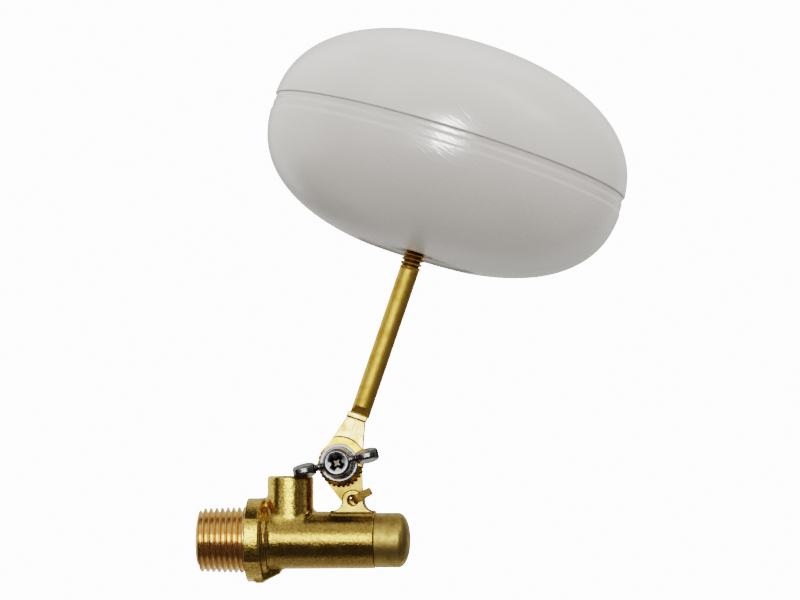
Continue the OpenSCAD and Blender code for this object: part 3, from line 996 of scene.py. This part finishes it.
def wing_screw_solid(x, y, z):
    rho = np.hypot(x, z)
    solid = round_or(hub(y, rho), wings(x, y, z), 0.5)
    shank = round_and(rho - SHANK_R, y - SHANK_END, 0.3)
    solid = np.minimum(solid, meet(shank, HUB_BACK - 1 - y))
    return without(solid, cross_recess(x, y, z) * 0.85, 0.3)


def wing_screw():
    low = (-14.4, HUB_FRONT - 0.7, -6.0)
    high = (13.8, 3.5, 6.0)
    verts, quads = surface_net(wing_screw_solid, low, high, WING_STEP * COARSE)
    hollow, _ = hollowness(wing_screw_solid, verts)
    x, y, z = verts.T
    # Painted shade: the cross recess is marked fully hollow, so it goes dark.
    painted_recess_shade = (np.hypot(x, z) < 2.8) & (np.abs(y - HUB_FRONT - 1.6) < 0.9)
    hollow = np.where(painted_recess_shade, 1.0, hollow)
    verts = placed(verts, rotation(-WING_ANGLE, "Y"), ARM_ORIGIN)
    obj = make_object("wing_screw_plated", verts, quads, [NICKEL])
    store(obj, "hollow", hollow)
    return obj


# ---- split pin

WIRE_R = 1.32
WIRE_EDGE = 0.12
WIRE_ARC = 1.45
PIN_RISE = 27.6
PIN_PATH = (
    (-0.06, 2.6), (-0.06, 3.3), (-0.06, 4.0), (-0.45, 5.0), (-1.25, 6.2), (-1.05, 7.5),
    (0, 8.05),
    (1.05, 7.5), (1.25, 6.2), (0.45, 5.0), (0.06, 4.0), (0.06, 0.0), (0.06, -3.4),
    (0.25, -4.35), (1.1, -4.95), (3.2, -5.35), (6.7, -6.05),
)


def smooth_path(points, per_span):
    """A Catmull-Rom curve through given points."""
    points = np.array(points, float)
    padded = np.vstack([2 * points[0] - points[1], points, 2 * points[-1] - points[-2]])
    path = []
    for n in range(1, len(padded) - 2):
        p0, p1, p2, p3 = padded[n - 1 : n + 3]
        for t in np.linspace(0, 1, per_span, endpoint=False):
            bow = (2 * p0 - 5 * p1 + 4 * p2 - p3) * t**2
            twist = (3 * p1 - p0 - 3 * p2 + p3) * t**3
            path.append(0.5 * (2 * p1 + (p2 - p0) * t + bow + twist))
    return np.array(path + [points[-1]])


def half_round_section():
    """The wire's section, as (out of the pin, across it)."""
    curve = [(WIRE_R * math.cos(a), WIRE_R * math.sin(a)) for a in np.linspace(-WIRE_ARC, WIRE_ARC, 17)]
    return [(0.0, -WIRE_R + WIRE_EDGE)] + curve + [(0.0, WIRE_R - WIRE_EDGE)]


def pivot_pin():
    """One half-round wire: short leg, eye, long leg and bent end. PIN_PATH is the middle of its flat side,
    as (towards the bend, towards the back)."""
    line = smooth_path(PIN_PATH, 8)
    ahead = np.gradient(line, axis=0)
    ahead /= np.linalg.norm(ahead, axis=1)[:, None]
    outside = np.stack([-ahead[:, 1], ahead[:, 0]], -1)
    rise = math.radians(PIN_RISE)
    bend = np.array([math.cos(rise), 0, math.sin(rise)])
    across = np.array([-math.sin(rise), 0, math.cos(rise)])
    back = np.array([0, 1.0, 0])
    section = half_round_section()
    rings = []
    for point, normal in zip(line, outside):
        flat = point[0] * bend + point[1] * back
        out = normal[0] * bend + normal[1] * back
        rings.append([flat + out * u + across * v for u, v in section])
    rings = np.array(rings) + (PIVOT[0], 0, PIVOT[2])
    count = len(section)
    faces = []
    for i in range(len(rings) - 1):
        for j in range(count):
            k = (j + 1) % count
            faces.append((i * count + j, i * count + k, (i + 1) * count + k, (i + 1) * count + j))
    faces.append(tuple(range(count))[::-1])
    faces.append(tuple((len(rings) - 1) * count + j for j in range(count)))
    obj = make_object("split_pin", rings.reshape(-1, 3), faces, [WIRE])
    mark_sharp(obj, 40)
    return obj


def mark_sharp(obj, degrees):
    """Shades smooth, except across edges sharper than this."""
    bm = bmesh.new()
    bm.from_mesh(obj.data)
    bmesh.ops.recalc_face_normals(bm, faces=bm.faces)
    for edge in bm.edges:
        edge.smooth = len(edge.link_faces) == 2 and edge.calc_face_angle(0) < math.radians(degrees)
    bm.to_mesh(obj.data)
    bm.free()


# ---- float

FLOAT_R = 58.3
FLOAT_TOP = 36.0
FLOAT_BOTTOM = 35.4
UPPER_POWER = 2.27
LOWER_POWER = 2.46
WALL = 1.8
SEAM = 2.2
SEAM_GAP = 0.03
BAND_END, BAND_STEP = 2.2, 0.55
EDGE_END, EDGE_STEP = 4.8, 0.30
DISH_R = 19.5
DISH_DEPTH = 2.0
INSERT_HOLE_R = 5.52
INSERT_WALL_R = 8.0
INSERT_HEIGHT = 14
FLOAT_CENTRE = placed((0.8, ARM_MID, 104.6), ARM_TURN, ARM_ORIGIN)
FLOAT_TURN = rotation(FLOAT_LEAN, "Y")


def half_height(height):
    return FLOAT_TOP if height > 0 else FLOAT_BOTTOM


def shell_radius(height, inset=0.0):
    """The float's radius at a height from its widest circle: a superellipse, or one inset from it."""
    power = UPPER_POWER if height > 0 else LOWER_POWER
    share = min(abs(height) / (half_height(height) - inset), 1)
    return (FLOAT_R - inset) * (1 - share**power) ** (1 / power)


def shell_arc(first, last, inset, steps):
    """Points from one height to another, closer together near the axis."""

    def angle(height):
        side = 1 if height > 0 else -1
        return math.asin(min(abs(height) / (half_height(height) - inset), 1)) * side

    points = []
    for a in np.linspace(angle(first), angle(last), steps + 1):
        height = (half_height(a) - inset) * math.sin(a)
        points.append((shell_radius(height, inset), height))
    return points


def float_upper():
    """The upper shell, with a chamfer at the seam."""
    chamfer = 0.22
    edge = shell_radius(SEAM)
    profile = [(edge - 1.7, SEAM + SEAM_GAP), (edge - chamfer, SEAM + SEAM_GAP)]
    profile += [(edge, SEAM + chamfer + SEAM_GAP)]
    profile += shell_arc(SEAM + chamfer + 0.3, FLOAT_TOP, 0, 110)
    profile += shell_arc(FLOAT_TOP - WALL, SEAM + 1, WALL, 40)
    return turned("float_upper", profile, 256, FLOAT_TURN, FLOAT_CENTRE, UPPER_PLASTIC)


def seam_bands():
    """Two shallow bands below the seam. The second fades into the shell."""
    chamfer = 0.12
    profile = [(FLOAT_R - BAND_STEP - chamfer, SEAM - SEAM_GAP)]
    profile += [(FLOAT_R - BAND_STEP, SEAM - chamfer - SEAM_GAP)]
    for h in (0.8, 1.5, BAND_END - 0.1):
        profile.append((shell_radius(SEAM - h) - BAND_STEP, SEAM - h))
    for h in (BAND_END, 3.0, 3.8, EDGE_END - 0.5):
        profile.append((shell_radius(SEAM - h) - EDGE_STEP, SEAM - h))
    settle = SEAM - EDGE_END
    for h in (0.0, 0.3, 0.6, 0.9, 1.2):
        share = (h / 1.2) ** 2 * (3 - 2 * h / 1.2)
        height = settle + 0.4 - h
        profile.append((shell_radius(height) - EDGE_STEP * (1 - share), height))
    return profile


def float_lower():
    """The lower shell, with the dish under it and the socket for the insert."""
    floor = -FLOAT_BOTTOM + DISH_DEPTH
    share = 1 - (DISH_R + 0.9) ** LOWER_POWER / FLOAT_R**LOWER_POWER
    lip = -FLOAT_BOTTOM * share ** (1 / LOWER_POWER)
    profile = [(shell_radius(1.0, WALL), SEAM - SEAM_GAP)] + seam_bands()
    profile += shell_arc(SEAM - EDGE_END - 1.4, lip, 0, 100)
    profile += arc((DISH_R + 0.75, lip + 0.85), 0.85, -80, -170, 6)
    profile += [(DISH_R - 0.15, floor - 0.55), (DISH_R - 0.45, floor - 0.15)]
    profile += [(DISH_R - 1.0, floor), (INSERT_HOLE_R, floor)]
    profile += [(INSERT_HOLE_R, floor + INSERT_HEIGHT), (INSERT_WALL_R, floor + INSERT_HEIGHT)]
    profile += [(INSERT_WALL_R, floor + WALL), (DISH_R + 1.0, floor + WALL)]
    profile += shell_arc(-FLOAT_BOTTOM + WALL + 2.2, 0.5, WALL, 40)
    return turned("float_lower", profile, 256, FLOAT_TURN, FLOAT_CENTRE, SHADED_LOWER_PLASTIC)


# ---- pieces on their bodies


def settle_piece(piece, body, slot, *nodes):
    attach(piece, body)
    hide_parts(*nodes)
    return piece


settle_piece(valve_casting(), "body", "cast_brass", "valve_body")
settle_piece(end_cap(), "body", "turned_brass", "end_cap")
settle_piece(pivot_pin(), "body", "pin_brass", "pivot_pin")
settle_piece(lever(), "lever", "stamped_brass", "lever")
settle_piece(float_arm(), "arm", "rod_brass", "float_arm")
settle_piece(washer(), "washer", "nickel", "clamp_washer")
settle_piece(wing_screw(), "wing_screw", "nickel", "wing_screw")
upper_shell = settle_piece(float_upper(), "arm", "float_plastic", "float_upper_shell")
lower_shell = settle_piece(float_lower(), "arm", "float_plastic", "float_lower_shell")

BRASS_INSIDE = ("seat_insert", "float_insert", "piston", "disc_retainer")
RUBBER_INSIDE = ("piston_o_ring", "seat_disc")
for node in BRASS_INSIDE + RUBBER_INSIDE:
    mesh = frame["nodes"][node].data
    mesh.materials.clear()
    mesh.materials.append(TURNED if node in BRASS_INSIDE else RUBBER)


# ---- studio

CAMERA_TARGET = Vector((64.6, 0.0, 76.5)) * MM
CAMERA_DISTANCE = 0.9
CAMERA_FROM = (4.0, -4.0)
VIEW_WIDTH = 255.8 * MM
FLOOR_Z = -48 * MM
FLOOR_R = 6.0
BACKDROP = 7.0

# What the metal reflects, as (level, azimuth from, to, elevation from, to, softness of the edge). Angles are
# in degrees: azimuth 0 is the camera's side and grows towards +X.
STUDIO_CARDS = (
    (3.6, -22, 17, -4, 22, 3),  # the soft light near the camera
    (0.60, -52, -25, -5, 60, 4),  # a dim card left of it
    (0.45, -70, 60, 24, 50, 4),  # the ceiling above it, in two steps
    (0.42, -70, 60, 50, 72, 4),
    (0.06, 20, 74, -10, 60, 6),  # the dark side at the right
    (0.25, 76, 93, -10, 30, 4),  # a dim strip at the far right
    (3.0, 74, 87, 32, 78, 3),  # a lamp high at the right
    (0.80, -155, -85, -16, 60, 4),  # the bright wall at the left
    (0.50, -200, -160, -40, 75, 8),  # the wall behind, in two halves
    (0.50, 140, 200, -40, 75, 8),
    (0.16, -200, -150, -64, -26, 6),  # its foot, in two halves
    (0.16, 150, 200, -64, -26, 6),
    (0.24, -200, 200, -100, -72, 3),  # the table, below and behind
    (0.24, -200, -95, -72, -36, 5),
    (0.24, 95, 200, -72, -36, 5),
)
ROOM_LEVEL = 0.07
SOFT_LIGHT_FROM = (-0.03, 0.16, 0.90)
SOFT_LIGHT = (0.32, 1.49)

GLARE_WATTS = 19.0
GLARE_SIZE = (0.20, 0.34)
GLARE_AT = (83, -58, 132)
GLARE_FROM = (3.7, 7.0)
GLARE_DISTANCE = 1.2


def direction(azimuth, elevation):
    """A unit vector. Angles are as in STUDIO_CARDS."""
    a = math.radians(azimuth)
    e = math.radians(elevation)
    return Vector((math.sin(a) * math.cos(e), -math.cos(a) * math.cos(e), math.sin(e)))


def studio_camera():
    camera = bpy.data.objects.new("camera", bpy.data.cameras.new("camera"))
    towards = direction(*CAMERA_FROM)
    camera.location = CAMERA_TARGET + CAMERA_DISTANCE * towards
    camera.rotation_euler = towards.to_track_quat("Z", "Y").to_euler()
    camera.data.lens = camera.data.sensor_width * CAMERA_DISTANCE / VIEW_WIDTH
    camera.data.clip_start = 0.01
    SCENE.collection.objects.link(camera)
    SCENE.camera = camera


def card_light(nodes, azimuth, elevation, level, a0, a1, e0, e1, soft):
    """The light of one card, in every direction."""
    share = nodes.ramp(azimuth, a0 - soft, a0 + soft)
    share = nodes.math("MULTIPLY", share, nodes.ramp(azimuth, a1 - soft, a1 + soft, 1, 0))
    share = nodes.math("MULTIPLY", share, nodes.ramp(elevation, e0 - soft, e0 + soft))
    share = nodes.math("MULTIPLY", share, nodes.ramp(elevation, e1 - soft, e1 + soft, 1, 0))
    return nodes.math("MULTIPLY", share, level)


def studio_world():
    """Metal reflects the cards, matt surfaces are lit by a gradient, and the camera sees a white wall."""
    world = bpy.data.worlds.new("studio")
    SCENE.world = world
    world.use_nodes = True
    nodes = Nodes(world.node_tree)
    way = nodes.add("TexCoord", out=0)
    x, y, z = nodes.add("SeparateXYZ", {0: way}).node.outputs
    azimuth = nodes.math("ARCTAN2", x, nodes.math("MULTIPLY", y, -1.0))
    azimuth = nodes.math("MULTIPLY", azimuth, 180 / math.pi)
    elevation = nodes.math("MULTIPLY", nodes.math("ARCSINE", z), 180 / math.pi)
    level = ROOM_LEVEL
    for card in STUDIO_CARDS:
        level = nodes.math("ADD", card_light(nodes, azimuth, elevation, *card), level)
    cards = nodes.add("Background", {"Color": (1.0, 0.985, 0.96, 1), "Strength": level})
    from_light = {0: way, 1: Vector(SOFT_LIGHT_FROM).normalized()}
    aim = nodes.add("VectorMath", from_light, out=1, operation="DOT_PRODUCT")
    soft = nodes.ramp(aim, -1.0, 1.0, *SOFT_LIGHT)
    even = nodes.add("Background", {"Color": (1.0, 0.99, 0.975, 1), "Strength": soft})
    wall = nodes.add("Background", {"Color": (1, 1, 1, 1), "Strength": BACKDROP})
    path = nodes.add("LightPath").node
    both = nodes.add("MixShader", {0: path.outputs["Is Diffuse Ray"], 1: cards, 2: even})
    seen = nodes.add("MixShader", {0: path.outputs["Is Camera Ray"], 1: both, 2: wall})
    world.node_tree.links.new(seen, world.node_tree.nodes["World Output"].inputs["Surface"])


def seam_glare(pieces):
    """A lamp that only adds shine, and only on the given pieces."""
    light = bpy.data.lights.new("seam_glare", "AREA")
    light.energy = GLARE_WATTS
    light.shape = "RECTANGLE"
    light.size, light.size_y = GLARE_SIZE
    obj = bpy.data.objects.new("seam_glare", light)
    towards = direction(*GLARE_FROM)
    obj.location = Vector(GLARE_AT) * MM + GLARE_DISTANCE * towards
    obj.rotation_euler = towards.to_track_quat("Z", "Y").to_matrix().to_4x4().to_euler()
    obj.visible_camera = False
    obj.visible_diffuse = False
    lit = bpy.data.collections.new("seam_glare")
    for piece in pieces:
        lit.objects.link(piece)
    obj.light_linking.receiver_collection = lit
    SCENE.collection.objects.link(obj)


def studio_floor():
    """A pale floor that brightens into the backdrop."""
    material = bpy.data.materials.new("floor")
    material.use_nodes = True
    nodes = Nodes(material.node_tree)
    spot = nodes.add("TexCoord", out=3)
    away = nodes.add("VectorMath", {0: spot}, out=1, operation="LENGTH")
    glow = nodes.add("Emission", {"Color": (1, 1, 1, 1), "Strength": BACKDROP})
    matt = nodes.add("BsdfDiffuse", {"Color": (0.9, 0.9, 0.9, 1)})
    share = nodes.ramp(away, 0.05, 0.45, 0.75, 1.0)
    both = nodes.add("MixShader", {0: share, 1: matt, 2: glow})
    output = material.node_tree.nodes["Material Output"]
    material.node_tree.links.new(both, output.inputs["Surface"])
    centre = (0.05, 0, FLOOR_Z)
    bpy.ops.mesh.primitive_circle_add(vertices=128, radius=FLOOR_R, fill_type="NGON", location=centre)
    floor = bpy.context.object
    floor.name = "floor"
    floor.data.materials.append(material)
    floor.visible_glossy = False
    floor.visible_diffuse = False


studio_camera()
studio_world()
seam_glare([upper_shell, lower_shell])
studio_floor()
SCENE.view_settings.view_transform = "Filmic"
SCENE.view_settings.look = "High Contrast"
